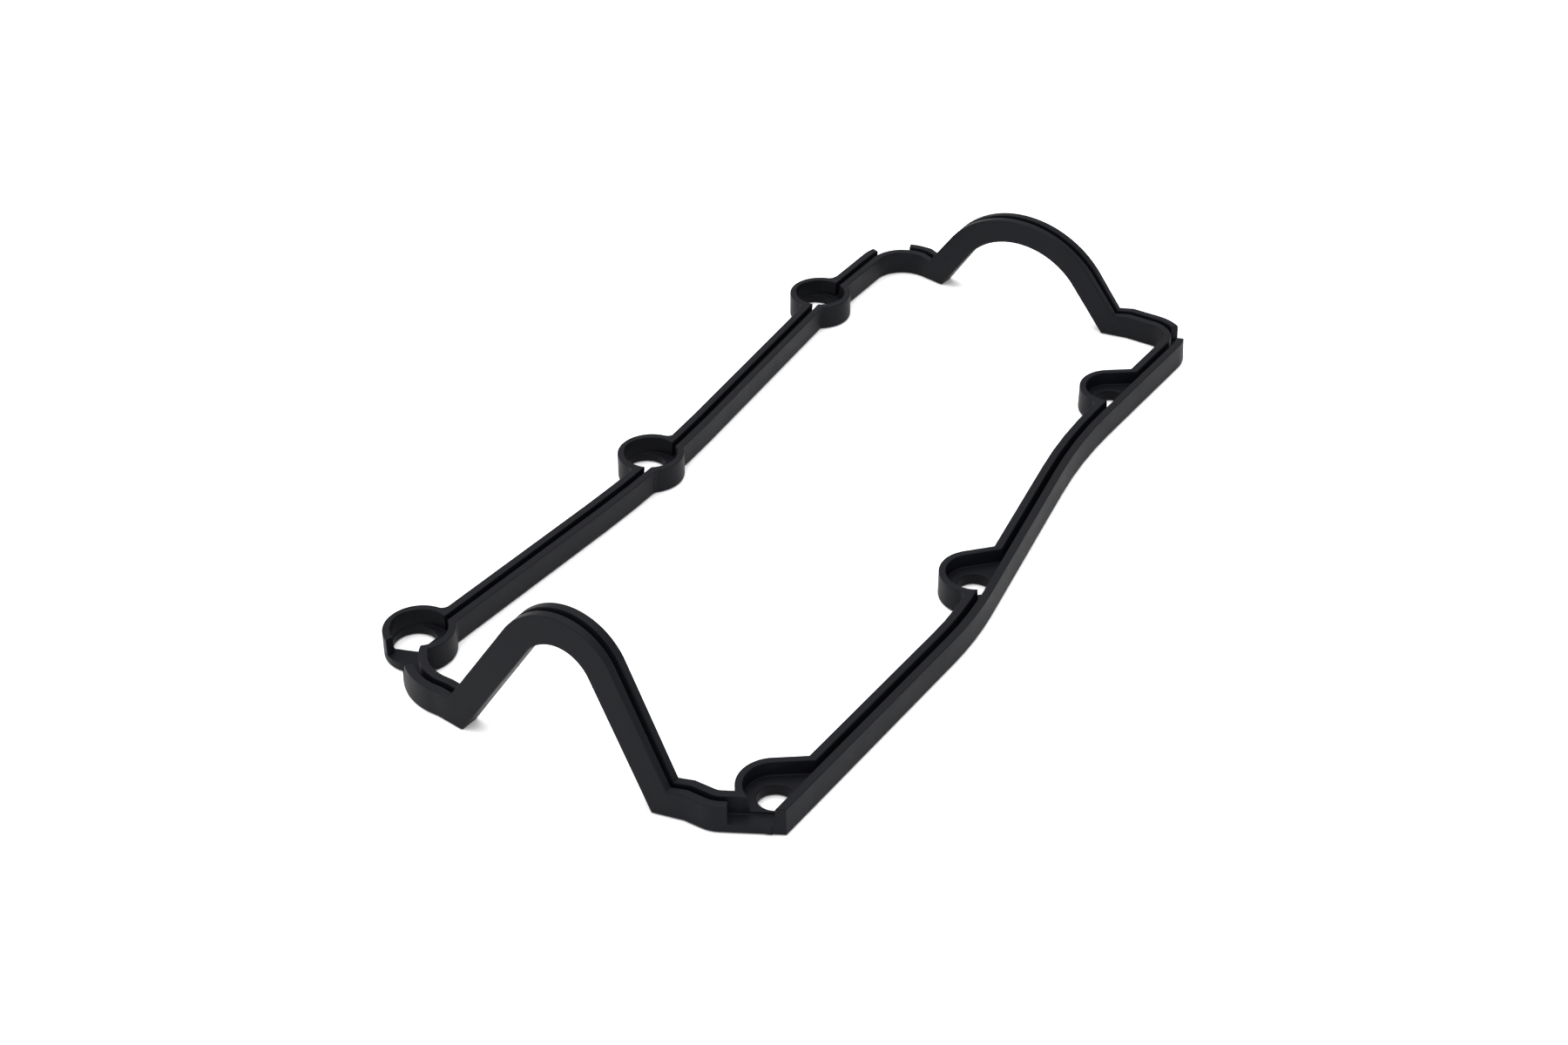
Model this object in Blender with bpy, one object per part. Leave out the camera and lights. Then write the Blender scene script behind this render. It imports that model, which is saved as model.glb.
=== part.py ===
"""Valve cover gasket, moulded from black rubber in one piece.

A channel-shaped strip, open at the top, runs round the edge of the cover and rises
over a camshaft arch at each end. Six bolt bosses sit on it: full rings on the left
side and D-shaped lobes on the right side. X runs along the cover, from the tall arch
to the low one, Y points to its left and Z is up. All lengths are in metres.
"""
from math import acos, asin, atan2, ceil, cos, pi, radians, sin, sqrt, tan

import bmesh
import bpy
import numpy as np

# Section of the strip
WALL = 0.0028                   # each of its two walls
GROOVE = 0.0020                 # clear width between the walls
HEIGHT = 0.0097                 # from the underside to the top of the walls
FLOOR = 0.0034                  # rubber left under the groove
LEAN = 0.06                     # inward tilt of the section, length per height
LOWER_EDGE = 0.0007             # bevel along the lower edges

# Plan of the strip's centreline, at the underside
END_SPAN = 0.3168               # between the two end strips
LEFT_NEAR_Y = 0.0642            # left side, at the corner by the tall arch
LEFT_MID_Y = 0.0563             # left side, where it is bowed in most
LEFT_MID_X = -0.0223
LEFT_FAR_Y = 0.0677             # left side, along its straight far stretch
LEFT_FAR_RUN = 0.0523           # length of that stretch
RIGHT_FAR_Y = -0.0620           # right side, at the corner by the low arch
RIGHT_RISE_Y = -0.0592          # right side, where it starts to bow out
RIGHT_RISE_RUN = 0.0899         # from the far end to that place
RIGHT_MID_Y = -0.0770           # right side, where it is bowed out most
RIGHT_MID_X = -0.0410
RIGHT_NEAR_Y = -0.0740          # right side, at the corner by the tall arch
SLANT_ALONG = 0.0093            # slanted strip across the near right corner
SLANT_ACROSS = 0.0170
NEAR_SKEW = 0.0010              # near end strip, further in at its right end
NEAR_FOOT_OUT = 0.0012          # feet of the tall arch, out from the near corners
FAR_FOOT_IN = 0.0018            # feet of the low arch, in from the far corners
FOOT_RUN = 0.0100               # length of strip that takes up such a step

# Corner radii of the centreline
NEAR_LEFT_RADIUS = 0.0190
LEFT_MID_RADIUS = 0.4500
LEFT_FAR_RADIUS = 0.2000
FAR_LEFT_RADIUS = 0.0150
FAR_RIGHT_RADIUS = 0.0125
RIGHT_RISE_RADIUS = 0.2200
RIGHT_MID_RADIUS = 0.1500
SLANT_RADIUS = 0.0080

# Camshaft arches, measured on the inside of the bend
ARCH_FOOT = 0.0347              # half the span between the feet
NEAR_ARCH_Y = -0.0037
NEAR_ARCH_LEG = 57.5            # degrees, slope of the legs
NEAR_ARCH_CROWN = 0.0133        # radius over the top
NEAR_ARCH_LEAN = 0.12           # the arches tilt inward a little more
FAR_ARCH_Y = 0.0058
FAR_ARCH_LEG = 55.4
FAR_ARCH_CROWN = 0.0274
FAR_ARCH_LEAN = 0.10

# Rings on the left side
RING_RADIUS = 0.0117
RING_WALL = 0.0024
RING_HOLE = 0.0071              # radius of the bolt hole
RING_HOLE_OUT = 0.0023          # centre of the hole, out from the ring's centre
RING_SHELF = 0.0052             # near ring: from the hole's centre to its slanted straight edge
RING_SHELF_TURN = 66.0          # degrees from the edge along the groove to the slanted one
RING_FROM_NEAR = 0.0189
RING_MID_X = -0.0183
RING_FROM_FAR = 0.0500
RING_NEAR_OUT = 0.0032          # centres of the rings, out from the centreline
RING_MID_OUT = 0.0037
RING_FAR_OUT = 0.0020

# Lobes on the right side
LOBE_RADIUS = 0.0119
LOBE_WALL = 0.0023
LOBE_FLANK = 52.0               # degrees, slope of the straight side that runs to the strip
LOBE_LEDGE = 0.0045             # height of the ledge round the hole
LOBE_HOLE = 0.0056
LOBE_FROM_NEAR = 0.0161
LOBE_MID_X = -0.0190
LOBE_FROM_FAR = 0.0523
LOBE_NEAR_IN = 0.0056           # centres of the lobes, in from the centreline
LOBE_MID_IN = 0.0055
LOBE_FAR_IN = 0.0042

WEB_RADIUS = 0.0025             # fillet between a boss and the strip

# Notches in the outer wall: start and end along the centreline, from a corner's middle
NEAR_LEFT_NOTCH = (-0.0027, 0.0091)
FAR_LEFT_NOTCH = (-0.0068, 0.0063)
FAR_RIGHT_NOTCH = (-0.0024, 0.0051)
NEAR_RIGHT_NOTCH = (0.0025, 0.0151)
RING_GAP_START = 160.0          # degrees, gap in the near ring's wall beside its notch
RING_GAP_END = 198.0

SHARED = 0.48                   # most of a straight that a corner's arc takes, if the
ALONE = 0.95                    # corner at its other end has an arc too, or has none
ARC_STEP = radians(7.5)
CIRCLE_SIDES = 48
OVERLAP = 0.0010                # how far joined shapes run into each other

HALF_WIDTH = GROOVE / 2 + WALL
MOULDED = ((0.0, LOWER_EDGE), (LOWER_EDGE, 0.0), (HEIGHT, 0.0))
UP = np.array((0.0, 0.0, 1.0))


def corner(x, y, z, radius, lean=LEAN):
    """One corner of the centreline."""
    return np.array((x, y, z)), radius, lean


def arch(x, middle_y, leg, crown, lean, heading):
    """Foot, apex and foot of an arch; heading is +1 where the line runs towards +Y."""
    apex = ARCH_FOOT * tan(radians(leg))
    return [
        corner(x, middle_y - heading * ARCH_FOOT, 0, 0, lean),
        corner(x, middle_y, apex, crown, lean),
        corner(x, middle_y + heading * ARCH_FOOT, 0, 0, lean),
    ]


def centreline():
    """Corners of the closed line, clockwise from above, from the near left one."""
    near = -END_SPAN / 2
    far = END_SPAN / 2
    slant_x = near + NEAR_SKEW
    near_step = ARCH_FOOT + FOOT_RUN
    return [
        corner(near, LEFT_NEAR_Y, 0, NEAR_LEFT_RADIUS),
        corner(LEFT_MID_X, LEFT_MID_Y, 0, LEFT_MID_RADIUS),
        corner(far - LEFT_FAR_RUN, LEFT_FAR_Y, 0, LEFT_FAR_RADIUS),
        corner(far, LEFT_FAR_Y, 0, FAR_LEFT_RADIUS),
        corner(far, FAR_ARCH_Y + ARCH_FOOT + FOOT_RUN, 0, 0),
        *arch(far - FAR_FOOT_IN, FAR_ARCH_Y, FAR_ARCH_LEG, FAR_ARCH_CROWN, FAR_ARCH_LEAN, -1),
        corner(far, FAR_ARCH_Y - ARCH_FOOT - FOOT_RUN, 0, 0),
        corner(far, RIGHT_FAR_Y, 0, FAR_RIGHT_RADIUS),
        corner(far - RIGHT_RISE_RUN, RIGHT_RISE_Y, 0, RIGHT_RISE_RADIUS),
        corner(RIGHT_MID_X, RIGHT_MID_Y, 0, RIGHT_MID_RADIUS),
        corner(slant_x + SLANT_ALONG, RIGHT_NEAR_Y, 0, 0),
        corner(slant_x, RIGHT_NEAR_Y + SLANT_ACROSS, 0, SLANT_RADIUS),
        corner(slant_x, NEAR_ARCH_Y - near_step, 0, 0),
        *arch(near - NEAR_FOOT_OUT, NEAR_ARCH_Y, NEAR_ARCH_LEG, NEAR_ARCH_CROWN, NEAR_ARCH_LEAN, 1),
        corner(near, NEAR_ARCH_Y + near_step, 0, 0),
    ]


def unit(vector):
    """The vector at length one."""
    return vector / np.linalg.norm(vector)


def rounded(corners):
    """Stations of the closed line, each a point, a lean and its corner's number."""
    stations = []
    for number, (point, radius, lean) in enumerate(corners):
        before, before_radius, _ = corners[number - 1]
        after, after_radius, _ = corners[(number + 1) % len(corners)]
        into = unit(point - before)
        out = unit(after - point)
        if radius == 0:
            stations.append((point, lean, number))
            continue
        turn = acos(into @ out)
        room_before = np.linalg.norm(point - before) * (SHARED if before_radius else ALONE)
        room_after = np.linalg.norm(after - point) * (SHARED if after_radius else ALONE)
        reach = min(radius * tan(turn / 2), room_before, room_after)
        start = point - into * reach
        centre = point + unit(out - into) * reach / sin(turn / 2)
        pieces = max(3, ceil(turn / ARC_STEP))
        for step in range(pieces + 1):
            angle = turn * step / pieces
            swing = (start - centre) * cos(angle) + into * reach / tan(turn / 2) * sin(angle)
            stations.append((centre + swing, lean, number))
    return stations


def mitre(before, after):
    """Direction whose unit offset keeps two meeting faces at unit distance."""
    return (before + after) / (1 + before @ after)


def ribbon(stations, closed):
    """Stations as point, inward and upward direction, and shift per height."""
    points = [station[0] for station in stations]
    count = len(points)
    pairs = count if closed else count - 1
    headings = [unit(points[(i + 1) % count] - points[i]) for i in range(pairs)]
    inward = [unit(np.array((t[1], -t[0], 0))) for t in headings]
    upward = [np.cross(side, t) for side, t in zip(inward, headings)]
    frames = []
    for i in range(count):
        before = i - 1 if closed else max(i - 1, 0)
        after = i if closed else min(i, pairs - 1)
        side = mitre(inward[before], inward[after])
        up = mitre(upward[before], upward[after])
        frames.append((points[i], side, up, side * stations[i][1]))
    return frames


def swept(frames, inner, outer, levels, closed):
    """Solid between an inner and an outer edge, from its heights and their insets."""
    shape = bmesh.new()
    section = [(inner - inset, height) for height, inset in levels]
    section += [(outer + inset, height) for height, inset in reversed(levels)]
    rows = []
    for point, side, up, drift in frames:
        row = []
        for across, height in section:
            place = point + side * across + up * height
            row.append(shape.verts.new(np.round(place + drift * place[2], 7)))
        rows.append(row)
    pairs = list(zip(rows, rows[1:]))
    if closed:
        pairs.append((rows[-1], rows[0]))
    else:
        shape.faces.new(rows[0])
        shape.faces.new(reversed(rows[-1]))
    for this, following in pairs:
        for k in range(len(section)):
            shape.faces.new((this[k - 1], this[k], following[k], following[k - 1]))
    return solid(shape)


def solid(shape):
    """Object with a closed mesh whose faces point outward."""
    bmesh.ops.recalc_face_normals(shape, faces=shape.faces)
    mesh = bpy.data.meshes.new("shape")
    shape.to_mesh(mesh)
    shape.free()
    shape_object = bpy.data.objects.new("shape", mesh)
    bpy.context.collection.objects.link(shape_object)
    return shape_object


def prism(outline, place, levels):
    """Upright solid whose plan outline depends on the height and the inset there."""
    shape = bmesh.new()
    rings = []
    for height, inset in levels:
        ring = []
        for u, v in outline(inset, height):
            point = place["centre"] + place["along"] * u + place["across"] * v + UP * height
            ring.append(shape.verts.new(np.round(point, 7)))
        rings.append(ring)
    shape.faces.new(rings[0])
    shape.faces.new(rings[-1])
    for this, following in zip(rings, rings[1:]):
        for k in range(len(this)):
            shape.faces.new((this[k - 1], this[k], following[k], following[k - 1]))
    return solid(shape)


def combine(body, tools, operation):
    """Join the tools to the body, or cut them out of the body, in one step."""
    group = bpy.data.collections.new(operation)
    for tool in tools:
        group.objects.link(tool)
    step = body.modifiers.new(operation, "BOOLEAN")
    step.operation = operation
    step.solver = "EXACT"
    step.operand_type = "COLLECTION"
    step.collection = group
    graph = bpy.context.evaluated_depsgraph_get()
    body_mesh = bpy.data.meshes.new_from_object(body.evaluated_get(graph))
    body.modifiers.clear()
    body.data = body_mesh
    for tool in tools:
        bpy.data.objects.remove(tool)
    bpy.data.collections.remove(group)


def disc(radius):
    """Outline of a full circle."""
    angles = [2 * pi * k / CIRCLE_SIDES for k in range(CIRCLE_SIDES)]
    return [(radius * cos(a), radius * sin(a)) for a in angles]


def cut_disc(radius, flat, flank=0.0):
    """Outline of a circle without the part that lies below v = -flat.

    With a flank, the far end leaves the circle and runs straight down to that line.
    """
    drop = min(flat / radius, 1.0)
    start = radians(90 - flank) if flank else -asin(drop)
    stop = pi + asin(drop)
    pieces = CIRCLE_SIDES * 2 // 3
    angles = [start + (stop - start) * k / pieces for k in range(pieces + 1)]
    outline = [(radius * cos(a), radius * sin(a)) for a in angles]
    if flank:
        run = (radius * sin(start) + flat) / cos(start)
        outline.insert(0, (radius * cos(start) + run * sin(start), -flat))
    return outline


def shelved(radius, flat, shelf, turn):
    """Outline of a circle cut at v = -flat and along a second edge turned from the first."""
    slant = radians(turn)
    first = acos(min(flat / radius, 1.0)) - pi / 2
    last = 3 * pi / 2 - slant - acos(min(shelf / radius, 1.0))
    pieces = CIRCLE_SIDES // 2
    angles = [first + (last - first) * k / pieces for k in range(pieces + 1)]
    outline = [(radius * cos(a), radius * sin(a)) for a in angles]
    return outline + [((flat * cos(slant) - shelf) / sin(slant), -flat)]


def web(radius, face, outward, end):
    """Outline that fills the corner between a boss and one face of the strip.

    The face lies at v = face, outward is the side of it that the fillet is on, and
    end is the end of the boss, along the strip.
    """
    middle_v = face + outward * WEB_RADIUS
    middle_u = sqrt((radius + WEB_RADIUS) ** 2 - middle_v ** 2)

    def outline(inset, reach):
        first = -outward * pi / 2
        turn = (atan2(-middle_v, -middle_u) - first + pi) % (2 * pi) - pi
        arc = []
        for k in range(5):
            angle = first + turn * k / 4
            arc.append((middle_u + reach * cos(angle), middle_v + reach * sin(angle)))
        inside_u = arc[-1][0] * (radius - OVERLAP) / radius
        inside_v = arc[-1][1] * (radius - OVERLAP) / radius
        root_v = face - outward * (inset + OVERLAP)
        return arc + [(inside_u, inside_v), (inside_u, root_v), (middle_u, root_v)]

    return lambda inset, height: [(end * u, v) for u, v in outline(inset, WEB_RADIUS + inset)]


def crossing(stations, x, heading):
    """Point of the centreline at x, on the side that runs with or against X."""
    points = [station[0] for station in stations]
    for start, stop in zip(points, points[1:]):
        forward = heading * (stop[0] - start[0]) > 0
        if forward and min(start[0], stop[0]) <= x < max(start[0], stop[0]):
            found = start + (stop - start) * (x - start[0]) / (stop[0] - start[0])
    return found


def seat(stations, x, heading, offset, reach):
    """Place of a boss: its centre, the ways along and across, and how far off it sits.

    The way along is the strip's own from the boss to its far end, where a web blends
    them, or from end to end where the boss has a web at both.
    """
    point = crossing(stations, x, heading)
    back, ahead = reach
    along = unit(crossing(stations, x + ahead, heading) - crossing(stations, x - back, heading))
    across = np.cross(UP, along)
    centre = point + across * offset
    return {"centre": centre, "along": along, "across": across, "offset": offset}


def stretch(stations, number, limits):
    """Stations of the open stretch between two distances from a corner's middle."""
    points = [station[0] for station in stations]
    along = [0.0]
    for before, after in zip(points, points[1:]):
        along.append(along[-1] + np.linalg.norm(after - before))
    own = [at for at, station in zip(along, stations) if station[2] == number]
    low = (own[0] + own[-1]) / 2 + limits[0]
    high = (own[0] + own[-1]) / 2 + limits[1]
    chosen = []
    for i in range(len(points) - 1):
        for end in (low, high):
            if along[i] < end <= along[i + 1]:
                share = (end - along[i]) / (along[i + 1] - along[i])
                point = points[i] + (points[i + 1] - points[i]) * share
                chosen.append((end, (point, LEAN, number)))
        if low < along[i] < high:
            chosen.append((along[i], stations[i]))
    return [station for at, station in sorted(chosen, key=lambda item: item[0])]


def sector(radius, start, stop):
    """Outline of a circle's sector between two directions in degrees."""
    angles = [radians(start + (stop - start) * k / 6) for k in range(7)]
    return [(0, 0)] + [(radius * cos(a), radius * sin(a)) for a in angles]


def open_above(floor):
    """Heights and insets of a pocket from its floor to clear above the walls."""
    return (floor, 0.0), (HEIGHT + OVERLAP, 0.0)


def through():
    """Heights and insets of a bolt hole, bevelled at the underside."""
    bevel = (-OVERLAP, -LOWER_EDGE), (0.0, -LOWER_EDGE), (LOWER_EDGE, 0.0)
    return *bevel, (HEIGHT + OVERLAP, 0.0)


def ring_shapes(place, ends):
    """Solid disc of one ring, with the webs that blend its ends into the strip."""
    shapes = [prism(lambda inset, height: disc(RING_RADIUS - inset), place, MOULDED)]
    for end in ends:
        for outward in (-1, 1):
            face = outward * HALF_WIDTH - place["offset"] - LEAN * HEIGHT
            shapes.append(prism(web(RING_RADIUS, face, outward, end), place, MOULDED))
    return shapes


def ring_cutters(place, slanted):
    """Pocket of one ring down to the groove's floor, and its bolt hole beside the groove."""
    pocket = prism(lambda inset, height: disc(RING_RADIUS - RING_WALL), place, open_above(FLOOR))
    inner = dict(place, centre=place["centre"] + place["across"] * RING_HOLE_OUT)
    flat = place["offset"] + RING_HOLE_OUT - GROOVE / 2

    def hole(inset, height):
        radius = RING_HOLE - inset
        if slanted:
            return shelved(radius, flat - inset, RING_SHELF - inset, RING_SHELF_TURN)
        return cut_disc(radius, flat - inset)

    return [pocket, prism(hole, inner, through())]


def lobe_shapes(place, near_web):
    """Solid half disc of one lobe, with its straight flank and the web at its near end."""
    shapes = [prism(lambda inset, height: cut_disc(LOBE_RADIUS - inset, place["offset"], LOBE_FLANK),
                    place, MOULDED)]
    if near_web:
        face = HALF_WIDTH - place["offset"]
        shapes.append(prism(web(LOBE_RADIUS, face, 1, -1), place, MOULDED))
    return shapes


def lobe_cutters(place):
    """Pocket of one lobe down to its ledge, and its bolt hole, straight beside the groove."""
    pocket = prism(
        lambda inset, height: cut_disc(LOBE_RADIUS - LOBE_WALL, place["offset"], LOBE_FLANK),
        place, open_above(LOBE_LEDGE))
    inner_face = place["offset"] - GROOVE / 2
    hole = prism(lambda inset, height: cut_disc(LOBE_HOLE - inset, inner_face - inset),
                 place, through())
    return [pocket, hole]


def wall_end(stations, number):
    """Frame at a sharp corner, along the inner face of the outer wall that runs into it."""
    at = [station[2] for station in stations].index(number)
    point = stations[at][0]
    into = unit(point - stations[at - 1][0])
    out = unit(stations[at + 1][0] - point)
    inward = np.array((into[1], -into[0], 0))
    spread = np.linalg.norm(np.cross(into, out))
    return point - inward * GROOVE / 2, -into / spread, UP, inward * LEAN


def notch_cutters(stations, near_ring):
    """Cutters that take the outer wall down to the groove's floor at the corners."""
    notches = {0: NEAR_LEFT_NOTCH, 3: FAR_LEFT_NOTCH, 9: FAR_RIGHT_NOTCH, 12: NEAR_RIGHT_NOTCH}
    reach = HALF_WIDTH + OVERLAP
    cutters = [prism(lambda inset, height: sector(RING_RADIUS + OVERLAP, RING_GAP_START, RING_GAP_END),
                     near_ring, open_above(FLOOR))]
    for number, limits in notches.items():
        opened = ribbon(stretch(stations, number, limits), False)
        if number == 12:
            opened.insert(0, wall_end(stations, number))
        cutters.append(swept(opened, 0, -reach, open_above(FLOOR), False))
    return cutters


def rubber():
    """Black moulded rubber."""
    material = bpy.data.materials.new("black_rubber")
    material.use_nodes = True
    shader = material.node_tree.nodes["Principled BSDF"]
    shader.inputs["Base Color"].default_value = (0.016, 0.017, 0.019, 1)
    shader.inputs["Roughness"].default_value = 0.5
    shader.inputs["Metallic"].default_value = 0.0
    return material


def cover_gasket():
    """The whole gasket, resting on its underside with its box centred on the origin."""
    stations = rounded(centreline())
    frames = ribbon(stations, True)
    near = -END_SPAN / 2
    far = END_SPAN / 2
    ring_x = (near + RING_FROM_NEAR, RING_MID_X, far - RING_FROM_FAR)
    lobe_x = (near + LOBE_FROM_NEAR, LOBE_MID_X, far - LOBE_FROM_FAR)
    ring_out = (RING_NEAR_OUT, RING_MID_OUT, RING_FAR_OUT)
    lobe_in = (LOBE_NEAR_IN, LOBE_MID_IN, LOBE_FAR_IN)
    ring_end = RING_RADIUS + WEB_RADIUS
    lobe_end = LOBE_RADIUS + WEB_RADIUS
    ring_reach = ((0, ring_end), (ring_end, ring_end), (ring_end, ring_end))
    lobe_reach = ((0, lobe_end), (lobe_end, lobe_end), (lobe_end, lobe_end))
    rings = [seat(stations, x, 1, *place) for x, *place in zip(ring_x, ring_out, ring_reach)]
    lobes = [seat(stations, x, -1, *place) for x, *place in zip(lobe_x, lobe_in, lobe_reach)]

    body = swept(frames, HALF_WIDTH, -HALF_WIDTH, MOULDED, True)
    bosses = []
    cutters = [swept(frames, GROOVE / 2, -GROOVE / 2, open_above(FLOOR), True)]
    for place in rings:
        near_ring = place is rings[0]
        bosses += ring_shapes(place, (1,) if near_ring else (-1, 1))
        cutters += ring_cutters(place, near_ring)
    for place in lobes:
        bosses += lobe_shapes(place, place is not lobes[0])
        cutters += lobe_cutters(place)
    combine(body, bosses, "UNION")
    combine(body, cutters + notch_cutters(stations, rings[0]), "DIFFERENCE")

    shape = bmesh.new()
    shape.from_mesh(body.data)
    bmesh.ops.remove_doubles(shape, verts=shape.verts, dist=0.000002)
    corners = np.array([vertex.co for vertex in shape.verts])
    middle = (corners.min(axis=0) + corners.max(axis=0)) / 2
    middle[2] = corners[:, 2].min()
    bmesh.ops.translate(shape, verts=shape.verts, vec=-middle)
    shape.to_mesh(body.data)
    shape.free()
    body.name = "cover_gasket"
    body.data.name = "cover_gasket"
    body.data.materials.append(rubber())


for old in list(bpy.data.objects):
    bpy.data.objects.remove(old)
cover_gasket()
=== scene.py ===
"""Valve cover gasket of moulded black rubber, lying on a flat white board in soft studio light.

X runs along the cover, from the tall arch to the low one, Y points to its left and Z is up.
All lengths are in metres. Light powers are in watts.
"""
from collections import namedtuple
from math import acos, asin, atan2, ceil, cos, pi, radians, sin, sqrt, tan

import bmesh
import bpy
import numpy as np
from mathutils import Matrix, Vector


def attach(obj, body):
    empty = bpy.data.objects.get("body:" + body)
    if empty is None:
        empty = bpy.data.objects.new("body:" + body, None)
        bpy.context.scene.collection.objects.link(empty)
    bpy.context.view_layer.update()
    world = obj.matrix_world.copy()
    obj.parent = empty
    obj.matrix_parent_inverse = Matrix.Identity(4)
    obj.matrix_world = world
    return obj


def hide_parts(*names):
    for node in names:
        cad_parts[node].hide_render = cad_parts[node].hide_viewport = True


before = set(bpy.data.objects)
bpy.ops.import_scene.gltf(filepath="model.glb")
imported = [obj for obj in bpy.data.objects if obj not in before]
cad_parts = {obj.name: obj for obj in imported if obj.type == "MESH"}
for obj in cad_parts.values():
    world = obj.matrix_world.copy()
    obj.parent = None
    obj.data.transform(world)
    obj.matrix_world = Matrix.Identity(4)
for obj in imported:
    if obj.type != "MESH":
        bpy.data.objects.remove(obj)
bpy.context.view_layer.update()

# One moulding of black nitrile rubber, pressed in a steel mould: a strip with a groove for the
# cover's rib, bent over the camshaft at both ends, with a ring or a lobe round each of its six
# bolts. Its edges are a little rounded by the mould, the lower ones most.

# Section of the strip
WALL = 0.0028                   # each of its two walls
GROOVE = 0.0020                 # clear width between the walls
HEIGHT = 0.0097                 # from the underside to the top of the walls
FLOOR = 0.0034                  # rubber left under the groove
LEAN = 0.06                     # inward tilt of the section, length per height
UPPER_EDGE = 0.00035            # rounding along the tops of the walls
LOWER_EDGE = 0.0010             # rounding along the underside
CORNER_FILLET = 0.0004          # at the foot of the groove and of the pockets
HALF_WIDTH = GROOVE / 2 + WALL

# Plan of the strip's centreline, at the underside
END_SPAN = 0.3168               # between the two end strips
LEFT_NEAR_Y = 0.0642            # left side, at the corner by the tall arch
LEFT_MID = (-0.0223, 0.0563)    # left side, where it is bowed in most
LEFT_FAR_Y = 0.0677             # left side, along its straight far stretch
LEFT_FAR_RUN = 0.0523           # length of that stretch
RIGHT_FAR_Y = -0.0620           # right side, at the corner by the low arch
RIGHT_RISE_Y = -0.0592          # right side, where it starts to bow out
RIGHT_RISE_RUN = 0.0899         # from the far end to that place
RIGHT_MID = (-0.0410, -0.0770)  # right side, where it is bowed out most
RIGHT_NEAR_Y = -0.0740          # right side, at the corner by the tall arch
SLANT_ALONG = 0.0093            # slanted strip across the near right corner
SLANT_ACROSS = 0.0170
NEAR_SKEW = 0.0010              # near end strip, further in at its right end
NEAR_FOOT_OUT = 0.0012          # feet of the tall arch, out from the near corners
FAR_FOOT_IN = 0.0018            # feet of the low arch, in from the far corners
FOOT_RUN = 0.0100               # length of strip that takes up such a step

# Corner radii of the centreline
NEAR_LEFT_RADIUS = 0.0190
LEFT_MID_RADIUS = 0.4500
LEFT_FAR_RADIUS = 0.2000
FAR_LEFT_RADIUS = 0.0150
FAR_RIGHT_RADIUS = 0.0125
RIGHT_RISE_RADIUS = 0.2200
RIGHT_MID_RADIUS = 0.1500
SLANT_RADIUS = 0.0080

# Camshaft arches: place of the middle, slope of the legs in degrees, radius over the top, tilt
ARCH_FOOT = 0.0347              # half the span between the feet
NEAR_ARCH = {"middle": -0.0037, "leg": 57.5, "crown": 0.0133, "lean": 0.12}
FAR_ARCH = {"middle": 0.0058, "leg": 55.4, "crown": 0.0274, "lean": 0.10}

# Rings on the left side
RING_RADIUS = 0.01168
RING_WALL = 0.0024
RING_HOLE = 0.0071              # radius of the bolt hole
RING_HOLE_OUT = 0.0023          # centre of the hole, out from the ring's centre
RING_SHELF = 0.0052             # near ring: from the hole's centre to its slanted straight edge
RING_SHELF_TURN = 66.0          # degrees from the edge along the groove to the slanted one
RING_GAP = (160.0, 198.0)       # degrees, where the near ring's wall is open
RINGS = (                       # x along the strip, and how far out from it the centre is
    (-0.1395, 0.0032),
    (-0.0183, 0.0037),
    (0.1084, 0.0020),
)

# D-shaped lobes on the right side
LOBE_RADIUS = 0.0119
LOBE_WALL = 0.0023
LOBE_FLANK = 52.0               # degrees, slope of the straight flank at the far end
LOBE_LEDGE = 0.0045             # top of the ledge inside a lobe
LOBE_HOLE = 0.0056              # radius of the bolt hole
LOBES = (                       # x along the strip, and how far in from it the centre is
    (-0.1423, 0.0056),
    (-0.0190, 0.0055),
    (0.1061, 0.0042),
)
WEB_RADIUS = 0.0025             # fillet between a boss and the strip

# The cover's four corners, by their number in the centreline, and the stretch along each of
# them, from its middle, where the outer wall is open
NEAR_LEFT, FAR_LEFT, FAR_RIGHT, NEAR_RIGHT = 0, 3, 9, 12
NOTCHES = {
    NEAR_LEFT: (-0.0027, 0.0091),
    FAR_LEFT: (-0.0068, 0.0063),
    FAR_RIGHT: (-0.0024, 0.0051),
    NEAR_RIGHT: (0.0025, 0.0151),
}

# Fineness of the shape, and small distances that its solids need
BEND_TURN = radians(3.0)        # turn between two stations of a bend
BEND_PIECES = 4                 # of a bend, at least
SHARED_STRAIGHT = 0.48          # share of a straight that one of its two bends may take
OWN_STRAIGHT = 0.95             # the same where the other end is sharp
EDGE_PIECES = 3                 # of an edge's quarter round
DISC_PIECES = 96
CUT_DISC_PIECES = 72
SHELVED_PIECES = 60
WEB_PIECES = 8
GAP_PIECES = 6
NOTCH_PLACES = 25
DECIMALS = 7                    # of a point's coordinates, so that level tops lie in one plane
OVERLAP = 0.0010                # by which joined solids and cutters reach past each other
SEAM = 0.000001                 # distance that closes the seam of a swept section
MERGE = 0.00001                 # distance within which the finished mesh's points are one
SHARP_ANGLE = radians(40)       # edges that turn by more stay sharp
NORMAL_WEIGHT = 100             # how far large faces govern the shading of small ones

UP = np.array((0.0, 0.0, 1.0))

# A place along the closed line, and the section that is laid there
Station = namedtuple("Station", "point lean corner")
Section = namedtuple("Section", "point side up lean")


def linear(code):
    """Scene-linear colour of an sRGB hex code."""
    shares = [int(code[i:i + 2], 16) / 255 for i in (0, 2, 4)]
    return [s / 12.92 if s <= 0.04045 else ((s + 0.055) / 1.055) ** 2.4 for s in shares] + [1.0]


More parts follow.
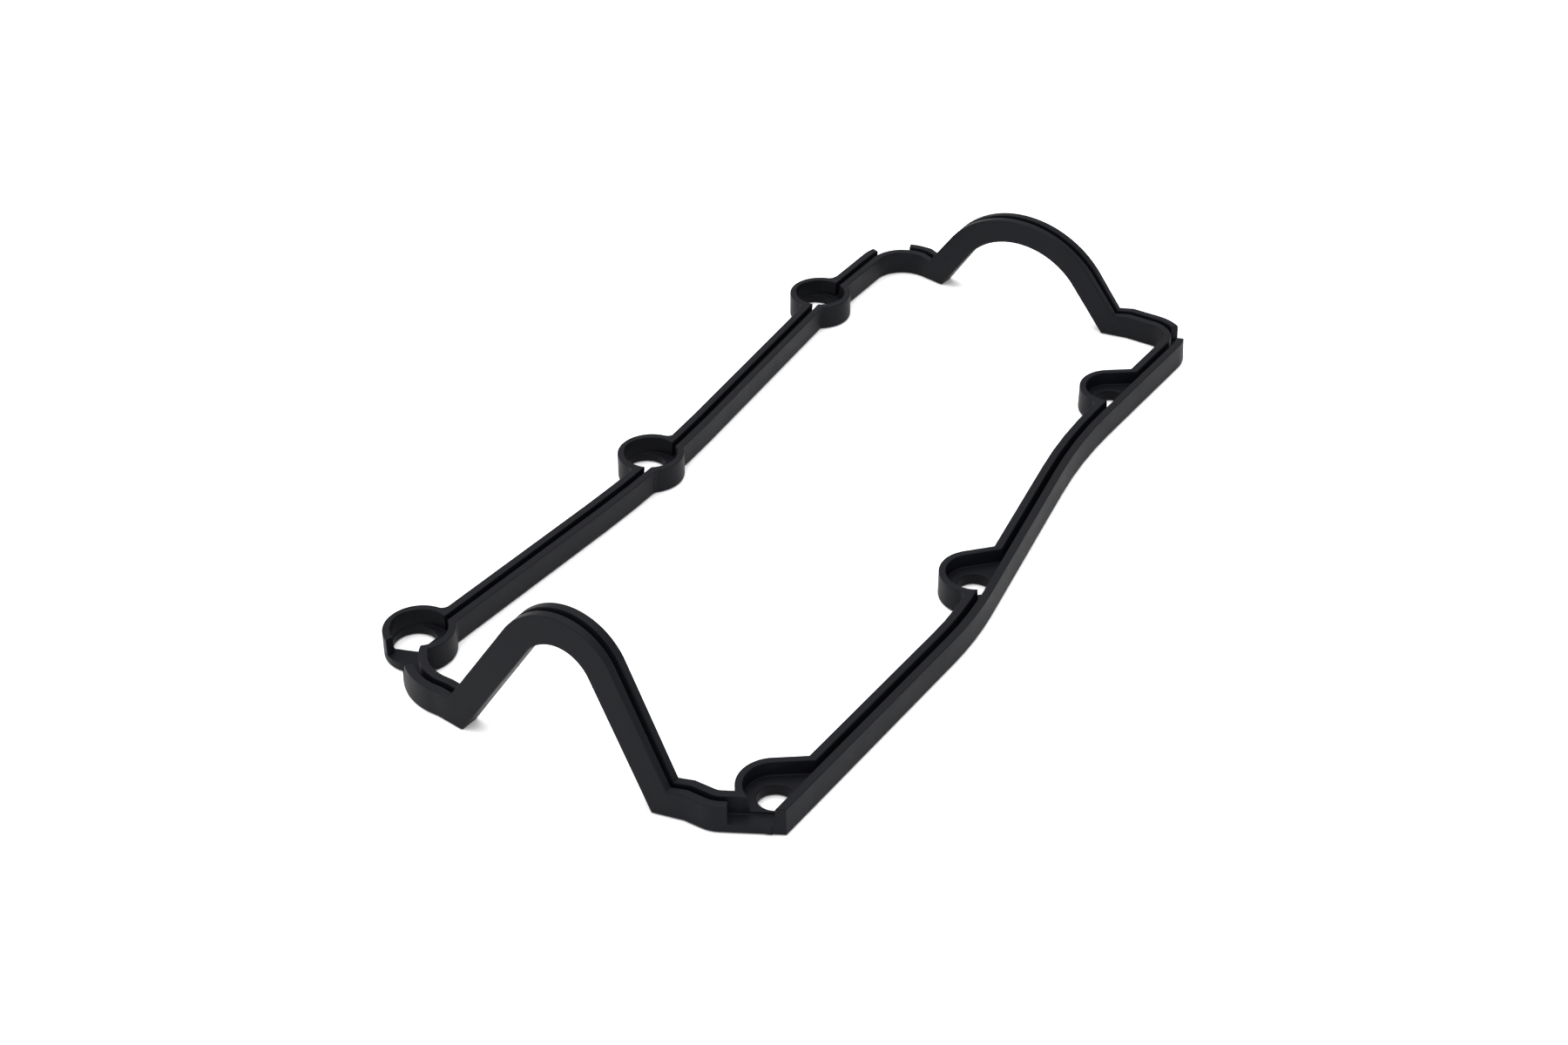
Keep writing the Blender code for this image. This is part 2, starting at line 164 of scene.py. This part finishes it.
def add(tree, kind, settings=None, **links):
    """New node with its settings; a link or value goes to the input of that name or number."""
    made = tree.nodes.new(kind)
    for name, value in (settings or {}).items():
        setattr(made, name, value)
    for name, value in links.items():
        key = int(name[1:]) if name[0] == "i" and name[1:].isdigit() else name.replace("_", " ")
        if isinstance(value, bpy.types.NodeSocket):
            tree.links.new(value, made.inputs[key])
        else:
            made.inputs[key].default_value = value
    return made


def new_object(name, data):
    """New object in the scene with a mesh, a light or a camera as its data."""
    made = bpy.data.objects.new(name, data)
    bpy.context.scene.collection.objects.link(made)
    return made


def evaluated_mesh(source):
    """Mesh of an object with its modifiers applied."""
    evaluated = source.evaluated_get(bpy.context.evaluated_depsgraph_get())
    return bpy.data.meshes.new_from_object(evaluated)


def unit(vector):
    """The vector at a length of one."""
    return vector / np.linalg.norm(vector)


# Path of the strip
def centreline():
    """Corners of the closed line as point, radius and lean, clockwise from the near left."""
    near = -END_SPAN / 2
    far = END_SPAN / 2
    slant_x = near + NEAR_SKEW
    step = ARCH_FOOT + FOOT_RUN

    def arch(x, heading, middle, leg, crown, lean):
        apex = ARCH_FOOT * tan(radians(leg))
        return [
            ((x, middle - heading * ARCH_FOOT, 0), 0, lean),
            ((x, middle, apex), crown, lean),
            ((x, middle + heading * ARCH_FOOT, 0), 0, lean),
        ]

    corners = [
        ((near, LEFT_NEAR_Y, 0), NEAR_LEFT_RADIUS, LEAN),
        ((*LEFT_MID, 0), LEFT_MID_RADIUS, LEAN),
        ((far - LEFT_FAR_RUN, LEFT_FAR_Y, 0), LEFT_FAR_RADIUS, LEAN),
        ((far, LEFT_FAR_Y, 0), FAR_LEFT_RADIUS, LEAN),
        ((far, FAR_ARCH["middle"] + step, 0), 0, LEAN),
        *arch(far - FAR_FOOT_IN, -1, **FAR_ARCH),
        ((far, FAR_ARCH["middle"] - step, 0), 0, LEAN),
        ((far, RIGHT_FAR_Y, 0), FAR_RIGHT_RADIUS, LEAN),
        ((far - RIGHT_RISE_RUN, RIGHT_RISE_Y, 0), RIGHT_RISE_RADIUS, LEAN),
        ((*RIGHT_MID, 0), RIGHT_MID_RADIUS, LEAN),
        ((slant_x + SLANT_ALONG, RIGHT_NEAR_Y, 0), 0, LEAN),
        ((slant_x, RIGHT_NEAR_Y + SLANT_ACROSS, 0), SLANT_RADIUS, LEAN),
        ((slant_x, NEAR_ARCH["middle"] - step, 0), 0, LEAN),
        *arch(near - NEAR_FOOT_OUT, 1, **NEAR_ARCH),
        ((near, NEAR_ARCH["middle"] + step, 0), 0, LEAN),
    ]
    return [(np.array(point, float), radius, lean) for point, radius, lean in corners]


def rounded(corners):
    """Stations of the closed line, whose corners are rounded by their radii."""
    stations = []
    for number, (point, radius, lean) in enumerate(corners):
        before, before_radius, _ = corners[number - 1]
        after, after_radius, _ = corners[(number + 1) % len(corners)]
        if radius == 0:
            stations.append(Station(point, lean, number))
            continue
        into = unit(point - before)
        out = unit(after - point)
        turn = acos(into @ out)
        share_before = SHARED_STRAIGHT if before_radius else OWN_STRAIGHT
        share_after = SHARED_STRAIGHT if after_radius else OWN_STRAIGHT
        room_before = np.linalg.norm(point - before) * share_before
        room_after = np.linalg.norm(after - point) * share_after
        reach = min(radius * tan(turn / 2), room_before, room_after)
        centre = point + unit(out - into) * reach / sin(turn / 2)
        swing = -into * reach + point - centre
        pieces = max(BEND_PIECES, ceil(turn / BEND_TURN))
        for step in range(pieces + 1):
            angle = turn * step / pieces
            arc = swing * cos(angle) + into * reach / tan(turn / 2) * sin(angle)
            stations.append(Station(centre + arc, lean, number))
    return stations


def ribbon(stations, closed):
    """Sections along the stations, with their inward and upward directions mitred at corners."""
    points = [station.point for station in stations]
    count = len(points)
    pairs = count if closed else count - 1
    headings = [unit(points[(i + 1) % count] - points[i]) for i in range(pairs)]
    inward = [unit(np.array((heading[1], -heading[0], 0))) for heading in headings]
    upward = [np.cross(side, heading) for side, heading in zip(inward, headings)]
    sections = []
    for i, station in enumerate(stations):
        b = i - 1 if closed else max(i - 1, 0)
        a = i if closed else min(i, pairs - 1)
        side = (inward[b] + inward[a]) / (1 + inward[b] @ inward[a])
        up = (upward[b] + upward[a]) / (1 + upward[b] @ upward[a])
        sections.append(Section(station.point, side, up, station.lean))
    return sections


def path_object(sections):
    """Points of the path, which carry the directions that a section is laid along."""
    mesh = bpy.data.meshes.new("path")
    mesh.from_pydata([tuple(section.point) for section in sections], [], [])
    for name in ("side", "up"):
        layer = mesh.attributes.new(name, "FLOAT_VECTOR", "POINT")
        for item, section in zip(layer.data, sections):
            item.vector = np.round(getattr(section, name), DECIMALS)
    layer = mesh.attributes.new("lean", "FLOAT", "POINT")
    for item, section in zip(layer.data, sections):
        item.value = section.lean
    return new_object("path", mesh)


def sweep_tree():
    """Node tree that sweeps a section round the path and gives it a material."""
    tree = bpy.data.node_groups.new("section swept round the cover", "GeometryNodeTree")
    for name, kind in (("Path", "Object"), ("Section", "Object"), ("Material", "Material")):
        tree.interface.new_socket(name, in_out="INPUT", socket_type="NodeSocket" + kind)
    tree.interface.new_socket("Geometry", in_out="OUTPUT", socket_type="NodeSocketGeometry")

    def points_of(socket):
        return add(tree, "GeometryNodeObjectInfo", Object=socket).outputs["Geometry"]

    def point_count(geometry):
        return add(tree, "GeometryNodeAttributeDomainSize", i0=geometry).outputs["Point Count"]

    def one_more(count):
        return add(tree, "ShaderNodeMath", {"operation": "ADD"}, i0=count, i1=1.0).outputs[0]

    def whole_number(operation, first, second):
        made = add(tree, "FunctionNodeIntegerMath", {"operation": operation}, i0=first, i1=second)
        return made.outputs[0]

    def vectors(operation, first, **others):
        made = add(tree, "ShaderNodeVectorMath", {"operation": operation}, i0=first, **others)
        return made.outputs[0]

    def position():
        return add(tree, "GeometryNodeInputPosition").outputs[0]

    def named(name, kind):
        made = add(tree, "GeometryNodeInputNamedAttribute", {"data_type": kind}, Name=name)
        return made.outputs["Attribute"]

    def picked(source, field, at, kind="FLOAT_VECTOR"):
        made = add(tree, "GeometryNodeSampleIndex", {"data_type": kind, "domain": "POINT"},
                   Geometry=source, Value=field, Index=at)
        return made.outputs["Value"]

    given = add(tree, "NodeGroupInput").outputs
    line = points_of(given["Path"])
    profile = points_of(given["Section"])
    line_size = point_count(line)
    profile_size = point_count(profile)

    # a grid with a row for each point of the path and one more, and its columns in the same way
    columns = one_more(profile_size)
    grid = add(tree, "GeometryNodeMeshGrid", Vertices_X=one_more(line_size), Vertices_Y=columns)

    # the row and the column of each grid point, where the last one is the first one again
    index = add(tree, "GeometryNodeInputIndex").outputs[0]
    row = whole_number("MODULO", whole_number("DIVIDE_FLOOR", index, columns), line_size)
    column = whole_number("MODULO", whole_number("MODULO", index, columns), profile_size)

    # what the path says at that row, and the section at that column
    start = picked(line, position(), row)
    side = picked(line, named("side", "FLOAT_VECTOR"), row)
    up = picked(line, named("up", "FLOAT_VECTOR"), row)
    lean = picked(line, named("lean", "FLOAT"), row, "FLOAT")
    parts = add(tree, "ShaderNodeSeparateXYZ", i0=picked(profile, position(), column)).outputs

    # the point in its place beside and above the path, tilted inward by its height
    beside = vectors("SCALE", side, Scale=parts["X"])
    above = vectors("SCALE", up, Scale=parts["Y"])
    upright = vectors("ADD", vectors("ADD", start, i1=beside), i1=above)
    height = add(tree, "ShaderNodeSeparateXYZ", i0=upright).outputs["Z"]
    tilt = add(tree, "ShaderNodeMath", {"operation": "MULTIPLY"}, i0=height, i1=lean).outputs[0]
    tilted = vectors("MULTIPLY_ADD", side, i1=tilt, i2=upright)

    moved = add(tree, "GeometryNodeSetPosition", Geometry=grid.outputs["Mesh"], Position=tilted)
    closed = add(tree, "GeometryNodeMergeByDistance", Geometry=moved.outputs[0], Distance=SEAM)
    whole = add(tree, "GeometryNodeRealizeInstances", i0=closed.outputs[0])
    painted = add(tree, "GeometryNodeSetMaterial", Geometry=whole.outputs[0],
                  Material=given["Material"])
    add(tree, "NodeGroupOutput", i0=painted.outputs[0])
    return tree


# Levels of a solid or a cutter, each a height and the inset of its outline there
def edge(level, radius, top, narrows):
    """Levels of a quarter round that ends at a level of the shape.

    top is 1 at the shape's top and -1 at its foot. narrows is 1 where the outline gets
    narrower towards that level, and -1 where it gets wider.
    """
    arc = []
    for k in range(EDGE_PIECES + 1):
        angle = pi / 2 * k / EDGE_PIECES
        height = level - top * radius * (1 - sin(angle))
        arc.append((height, narrows * radius * (1 - cos(angle))))
    return arc if top > 0 else arc[::-1]


# Plan outlines of the bosses and their cutters, with u along the strip and v across it
def disc(radius):
    """Outline of a circle."""
    angles = [2 * pi * k / DISC_PIECES for k in range(DISC_PIECES)]
    return [(radius * cos(a), radius * sin(a)) for a in angles]


def cut_disc(radius, flat, flank=0.0):
    """Outline of a circle without the part that lies below v = -flat.

    With a flank, the far end leaves the circle and runs straight down to that line.
    """
    start = radians(90 - flank) if flank else -asin(flat / radius)
    sweep = pi + asin(flat / radius) - start
    angles = [start + sweep * k / CUT_DISC_PIECES for k in range(CUT_DISC_PIECES + 1)]
    outline = [(radius * cos(a), radius * sin(a)) for a in angles]
    if flank:
        run = (radius * sin(start) + flat) / cos(start)
        outline.insert(0, (radius * cos(start) + run * sin(start), -flat))
    return outline


def shelved(radius, flat, shelf, turn):
    """Outline of a circle cut at v = -flat and along a second edge turned from the first."""
    slant = radians(turn)
    first = acos(flat / radius) - pi / 2
    sweep = 2 * pi - slant - acos(flat / radius) - acos(shelf / radius)
    angles = [first + sweep * k / SHELVED_PIECES for k in range(SHELVED_PIECES + 1)]
    outline = [(radius * cos(a), radius * sin(a)) for a in angles]
    return outline + [((flat * cos(slant) - shelf) / sin(slant), -flat)]


def web(radius, face, outward, end, inset):
    """Outline that fills the corner between a boss and one face of the strip.

    The face lies at v = face, outward is the side of it that the web is on, and end is the
    boss's end, along the strip.
    """
    middle_v = face + outward * WEB_RADIUS
    middle_u = sqrt((radius + WEB_RADIUS) ** 2 - middle_v ** 2)
    first = -outward * pi / 2
    turn = (atan2(-middle_v, -middle_u) - first + pi) % (2 * pi) - pi
    reach = WEB_RADIUS + inset
    arc = []
    for k in range(WEB_PIECES + 1):
        angle = first + turn * k / WEB_PIECES
        arc.append((middle_u + reach * cos(angle), middle_v + reach * sin(angle)))
    inside = (radius - OVERLAP) / radius
    inner = (arc[-1][0] * inside, arc[-1][1] * inside)
    root_v = face - outward * (OVERLAP + inset)
    outline = arc + [inner, (inner[0], root_v), (middle_u, root_v)]
    return [(end * u, v) for u, v in outline]


def gap_wedge():
    """Outline of the sector that opens the near ring's wall."""
    reach = RING_RADIUS + OVERLAP
    first, last = RING_GAP
    angles = [radians(first + (last - first) * k / GAP_PIECES) for k in range(GAP_PIECES + 1)]
    return [(0, 0)] + [(reach * cos(a), reach * sin(a)) for a in angles]


# Places of the bosses
def crossing(stations, x, heading):
    """Point of the centreline at x, on the side that runs with or against X."""
    for start, stop in zip(stations, stations[1:]):
        first = start.point
        last = stop.point
        forward = heading * (last[0] - first[0]) > 0
        if forward and min(first[0], last[0]) <= x < max(first[0], last[0]):
            found = first + (last - first) * (x - first[0]) / (last[0] - first[0])
    return found


def seats(stations, bosses, heading, radius):
    """Places of one side's bosses: centre, ways along and across, and the offset of each.

    A boss lies along the chord between the centreline's points just past its two ends. The
    first one has the near corner behind it, so its chord starts at its own place.
    """
    ahead = radius + WEB_RADIUS
    places = []
    for x, offset in bosses:
        back = ahead if places else 0
        along = unit(crossing(stations, x + ahead, heading) - crossing(stations, x - back, heading))
        across = np.cross(UP, along)
        centre = crossing(stations, x, heading) + across * offset
        places.append({"centre": centre, "along": along, "across": across, "offset": offset})
    return places


# Solids and cutters
def lofted(rows):
    """Closed solid whose rows of points follow each other, each row a closed loop."""
    shape = bmesh.new()
    loops = [[shape.verts.new(np.round(point, DECIMALS)) for point in row] for row in rows]
    shape.faces.new(loops[0])
    shape.faces.new(loops[-1])
    for this, following in zip(loops, loops[1:]):
        for k in range(len(this)):
            shape.faces.new((this[k - 1], this[k], following[k], following[k - 1]))
    bmesh.ops.recalc_face_normals(shape, faces=shape.faces)
    mesh = bpy.data.meshes.new("shape")
    shape.to_mesh(mesh)
    shape.free()
    return new_object("shape", mesh)


def prism(outline, place, levels):
    """Upright solid whose plan outline follows from the inset and the height."""
    rows = []
    for height, inset in levels:
        rows.append([place["centre"] + place["along"] * u + place["across"] * v + UP * height
                     for u, v in outline(inset, height)])
    return lofted(rows)


def swept(tree, path, material, half_width, levels):
    """Solid or cutter swept round the whole path, from its half width and its levels."""
    outline = [(inset - half_width, height, 0) for height, inset in levels]
    outline += [(half_width - inset, height, 0) for height, inset in reversed(levels)]
    section_mesh = bpy.data.meshes.new("section")
    section_mesh.from_pydata(outline, [], [])
    section = new_object("section", section_mesh)
    made = new_object("swept", bpy.data.meshes.new("swept"))
    step = made.modifiers.new("sweep", "NODES")
    step.node_group = tree
    inputs = {item.name: item.identifier for item in tree.interface.items_tree
              if item.in_out == "INPUT"}
    step[inputs["Path"]] = path
    step[inputs["Section"]] = section
    step[inputs["Material"]] = material
    mesh = evaluated_mesh(made)
    made.modifiers.clear()
    shape = bmesh.new()
    shape.from_mesh(mesh)
    bmesh.ops.recalc_face_normals(shape, faces=shape.faces)
    shape.to_mesh(mesh)
    shape.free()
    made.data = mesh
    bpy.data.objects.remove(section)
    return made


def notch(stations, number, limits, levels):
    """Cutter that opens the outer wall between two distances from a corner's middle.

    At the sharp corner the cut starts along the inner face of the wall that runs into it.
    """
    points = np.array([station.point for station in stations])
    along = np.concatenate(([0.0], np.cumsum(np.linalg.norm(np.diff(points, axis=0), axis=1))))
    own = [i for i, station in enumerate(stations) if station.corner == number]
    middle = (along[own[0]] + along[own[-1]]) / 2
    reach = HALF_WIDTH + OVERLAP
    rows = []
    for height, inset in levels:
        places = np.linspace(middle + limits[0] + inset, middle + limits[1] - inset, NOTCH_PLACES)
        path = [np.array([np.interp(at, along, points[:, k]) for k in range(3)]) for at in places]
        bend = [Station(point, LEAN, number) for point in path]
        opened = [(section.point, section.side, section.side * section.lean)
                  for section in ribbon(bend, False)]
        if len(own) == 1:
            into = unit(points[own[0]] - points[own[0] - 1])
            out = unit(points[own[0] + 1] - points[own[0]])
            inward = np.array((into[1], -into[0], 0))
            spread = np.linalg.norm(np.cross(into, out))
            start = points[own[0]] - inward * (GROOVE / 2 - inset)
            opened.insert(0, (start, -into / spread, inward * LEAN))
        inner = [point + drift * height + UP * height for point, side, drift in opened]
        outer = [point - side * reach + drift * height + UP * height
                 for point, side, drift in opened]
        rows.append(inner + outer[::-1])
    return lofted(rows)


def ring_shapes(place, ends, levels):
    """Solid disc of one ring, with the webs that blend its ends into the strip."""
    shapes = [prism(lambda inset, z: disc(RING_RADIUS - inset), place, levels)]
    for end in ends:
        for outward in (-1, 1):
            face = outward * HALF_WIDTH - place["offset"]
            shapes.append(prism(
                lambda inset, z: web(RING_RADIUS, face - LEAN * z, outward, end, inset),
                place, levels))
    return shapes


def ring_cutters(place, slanted, pocket_levels, hole_levels):
    """Pocket of one ring and the bolt hole beside its groove."""
    beside = dict(place, centre=place["centre"] + place["across"] * RING_HOLE_OUT)
    flat = place["offset"] + RING_HOLE_OUT - GROOVE / 2

    def hole(inset, z):
        radius = RING_HOLE - inset
        if slanted:
            return shelved(radius, flat - inset, RING_SHELF - inset, RING_SHELF_TURN)
        return cut_disc(radius, flat - inset)

    return [prism(lambda inset, z: disc(RING_RADIUS - RING_WALL - inset), place, pocket_levels),
            prism(hole, beside, hole_levels)]


def lobe_shapes(place, blended, levels):
    """Solid half disc of one lobe, with its straight flank and the web at its near end."""
    offset = place["offset"]
    shapes = [prism(lambda inset, z: cut_disc(LOBE_RADIUS - inset, offset, LOBE_FLANK),
                    place, levels)]
    if blended:
        shapes.append(prism(
            lambda inset, z: web(LOBE_RADIUS, HALF_WIDTH - offset + LEAN * z, 1, -1, inset),
            place, levels))
    return shapes


def lobe_cutters(place, pocket_levels, hole_levels):
    """Pocket of one lobe, down to its ledge, and the bolt hole beside its groove."""
    offset = place["offset"]
    radius = LOBE_RADIUS - LOBE_WALL
    flat = offset - GROOVE / 2
    return [prism(lambda inset, z: cut_disc(radius - inset, offset - inset, LOBE_FLANK),
                  place, pocket_levels),
            prism(lambda inset, z: cut_disc(LOBE_HOLE - inset, flat - inset), place, hole_levels)]


def combine(body, tools, operation):
    """Join the tools to the body, or cut them out of the body, in one step."""
    group = bpy.data.collections.new(operation)
    for tool in tools:
        group.objects.link(tool)
    step = body.modifiers.new(operation, "BOOLEAN")
    step.operation = operation
    step.solver = "EXACT"
    step.operand_type = "COLLECTION"
    step.collection = group
    joined = evaluated_mesh(body)
    body.modifiers.clear()
    body.data = joined
    for tool in tools:
        bpy.data.objects.remove(tool)
    bpy.data.collections.remove(group)


def moulding(material):
    """The whole gasket: the swept strip with its bosses, less groove, pockets and holes."""
    stations = rounded(centreline())
    path = path_object(ribbon(stations, True))
    tree = sweep_tree()

    moulded = edge(0, LOWER_EDGE, -1, 1) + edge(HEIGHT, UPPER_EDGE, 1, 1)
    past_top = [(HEIGHT + OVERLAP, -UPPER_EDGE)]
    open_above = edge(HEIGHT, UPPER_EDGE, 1, -1) + past_top
    sunk = edge(FLOOR, CORNER_FILLET, -1, 1) + open_above
    sunk_to_ledge = edge(LOBE_LEDGE, CORNER_FILLET, -1, 1) + open_above
    open_below = [(-OVERLAP, -LOWER_EDGE)] + edge(0, LOWER_EDGE, -1, -1)
    through_floor = open_below + edge(FLOOR, UPPER_EDGE, 1, -1) + past_top
    through_ledge = open_below + edge(LOBE_LEDGE, UPPER_EDGE, 1, -1) + past_top

    body = swept(tree, path, material, HALF_WIDTH, moulded)
    bosses = []
    cutters = [swept(tree, path, material, GROOVE / 2, sunk)]
    rings = seats(stations, RINGS, 1, RING_RADIUS)
    for place in rings:
        near_ring = place is rings[0]
        bosses += ring_shapes(place, (1,) if near_ring else (-1, 1), moulded)
        cutters += ring_cutters(place, near_ring, sunk, through_floor)
    lobes = seats(stations, LOBES, -1, LOBE_RADIUS)
    for place in lobes:
        bosses += lobe_shapes(place, place is not lobes[0], moulded)
        cutters += lobe_cutters(place, sunk_to_ledge, through_ledge)
    for number, limits in NOTCHES.items():
        cutters.append(notch(stations, number, limits, [(FLOOR, 0)] + open_above))
    wedge_levels = [(FLOOR, 0), (HEIGHT + OVERLAP, 0)]
    cutters.append(prism(lambda inset, z: gap_wedge(), rings[0], wedge_levels))
    combine(body, bosses, "UNION")
    combine(body, cutters, "DIFFERENCE")
    bpy.data.objects.remove(path)
    return body


def settle(body):
    """Move a body's mesh so that its box is centred on the origin and stands on the floor."""
    shape = bmesh.new()
    shape.from_mesh(body.data)
    bmesh.ops.remove_doubles(shape, verts=shape.verts, dist=MERGE)
    corners = np.array([vertex.co for vertex in shape.verts])
    middle = (corners.min(axis=0) + corners.max(axis=0)) / 2
    middle[2] = corners[:, 2].min()
    bmesh.ops.translate(shape, verts=shape.verts, vec=-middle)
    shape.to_mesh(body.data)
    shape.free()


def shade(body):
    """Smooth shading that keeps flat faces flat and sharp edges sharp."""
    body.data.shade_smooth()
    body.data.set_sharp_from_angle(angle=SHARP_ANGLE)
    even = body.modifiers.new("even normals", "WEIGHTED_NORMAL")
    even.keep_sharp = True
    even.weight = NORMAL_WEIGHT
    mesh = evaluated_mesh(body)
    body.modifiers.clear()
    body.data = mesh


rubber = bpy.data.materials.new("moulded black nitrile rubber")
gasket = moulding(rubber)
settle(gasket)
gasket.name = "moulded_gasket"
gasket.data.name = "moulded_gasket"
gasket.data.materials.clear()
gasket.data.materials.append(rubber)
shade(gasket)

# Black nitrile rubber as it leaves the mould: almost black and a little blue, with a faint
# bloom in patches that also dulls it, and the fine texture of the mould's steel. It hardly
# mirrors the white room, so its faces stay dark and even.
DARK_RUBBER = "0a0b0e"
BLOOMED_RUBBER = "101116"
BLOOM_PATCHES = {"Scale": 90.0, "Detail": 6.0, "Roughness": 0.6}
MOULD_GRAIN = {"Scale": 2200.0, "Detail": 3.0}
GRAIN_BUMP = {"Strength": 0.25, "Distance": 0.00005}
ROUGHNESS = (0.42, 0.60)        # least and most
IOR = 1.52
MIRRORING = 0.07

rubber.use_nodes = True
rubber_tree = rubber.node_tree
shader = rubber_tree.nodes["Principled BSDF"]
where = add(rubber_tree, "ShaderNodeTexCoord").outputs["Object"]
bloom = add(rubber_tree, "ShaderNodeTexNoise", Vector=where, **BLOOM_PATCHES).outputs[0]
tone = add(rubber_tree, "ShaderNodeMix", {"data_type": "RGBA"}, Factor=bloom,
           i6=linear(DARK_RUBBER), i7=linear(BLOOMED_RUBBER))
grain = add(rubber_tree, "ShaderNodeTexNoise", Vector=where, **MOULD_GRAIN).outputs[0]
bump = add(rubber_tree, "ShaderNodeBump", Height=grain, **GRAIN_BUMP)
sheen = add(rubber_tree, "ShaderNodeMapRange", Value=bloom,
            To_Min=ROUGHNESS[0], To_Max=ROUGHNESS[1])
rubber_tree.links.new(tone.outputs[2], shader.inputs["Base Color"])
rubber_tree.links.new(sheen.outputs[0], shader.inputs["Roughness"])
rubber_tree.links.new(bump.outputs[0], shader.inputs["Normal"])
shader.inputs["Metallic"].default_value = 0.0
shader.inputs["IOR"].default_value = IOR
shader.inputs["Specular IOR Level"].default_value = MIRRORING

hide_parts("cover_gasket")
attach(gasket, "root")


# Table: a flat, matt white square of painted board, much larger than the view, under the gasket
BOARD_HALF = 4.0
BOARD_WHITE = "fafafa"
BOARD_ROUGHNESS = 0.9
BOARD_MIRRORING = 0.1

board_corners = [(x * BOARD_HALF, y * BOARD_HALF, 0)
                 for x, y in ((-1, -1), (1, -1), (1, 1), (-1, 1))]
table_mesh = bpy.data.meshes.new("table")
table_mesh.from_pydata(board_corners, [], [(0, 1, 2, 3)])
table = new_object("table", table_mesh)
board = bpy.data.materials.new("matt white painted board")
board.use_nodes = True
paint = board.node_tree.nodes["Principled BSDF"].inputs
paint["Base Color"].default_value = linear(BOARD_WHITE)
paint["Roughness"].default_value = BOARD_ROUGHNESS
paint["Specular IOR Level"].default_value = BOARD_MIRRORING
table_mesh.materials.append(board)


# Lights and camera: soft boxes round a table-top set, a camera that looks down from beyond
# the tall arch, and a white room
SOFT_BOXES = (                  # name, place, size and power
    ("top_box", (0.0, 0.1, 1.3), (1.6, 1.2), 22.0),
    ("left_box", (-0.3, 1.2, 0.8), (1.0, 0.8), 8.0),
    ("front_box", (-1.3, -0.6, 0.6), (0.9, 0.7), 6.0),
)
ROOM_WHITE = "ffffff"
ROOM_STRENGTH = 0.9
CAMERA_PLACE = (-0.5867, -0.3523, 0.4762)
CAMERA_TARGET = (-0.0238, 0.0022, 0.0052)
FOCAL_LENGTH = 55.4             # millimetres, as is the sensor's width
SENSOR_WIDTH = 36.0


def aim(piece, place, target):
    """Put a light or a camera at a place and turn it to a target."""
    piece.location = place
    piece.rotation_euler = (Vector(target) - Vector(place)).to_track_quat("-Z", "Y").to_euler()


for name, place, size, power in SOFT_BOXES:
    light = bpy.data.lights.new(name, "AREA")
    light.shape = "RECTANGLE"
    light.size, light.size_y = size
    light.energy = power
    aim(new_object(name, light), place, (0, 0, 0))

room = bpy.data.worlds.new("studio")
bpy.context.scene.world = room
room.use_nodes = True
room.node_tree.nodes["Background"].inputs["Color"].default_value = linear(ROOM_WHITE)
room.node_tree.nodes["Background"].inputs["Strength"].default_value = ROOM_STRENGTH

lens = bpy.data.cameras.new("camera")
lens.lens = FOCAL_LENGTH
lens.sensor_width = SENSOR_WIDTH
camera = new_object("camera", lens)
aim(camera, CAMERA_PLACE, CAMERA_TARGET)
bpy.context.scene.camera = camera
bpy.context.scene.view_settings.view_transform = "Standard"
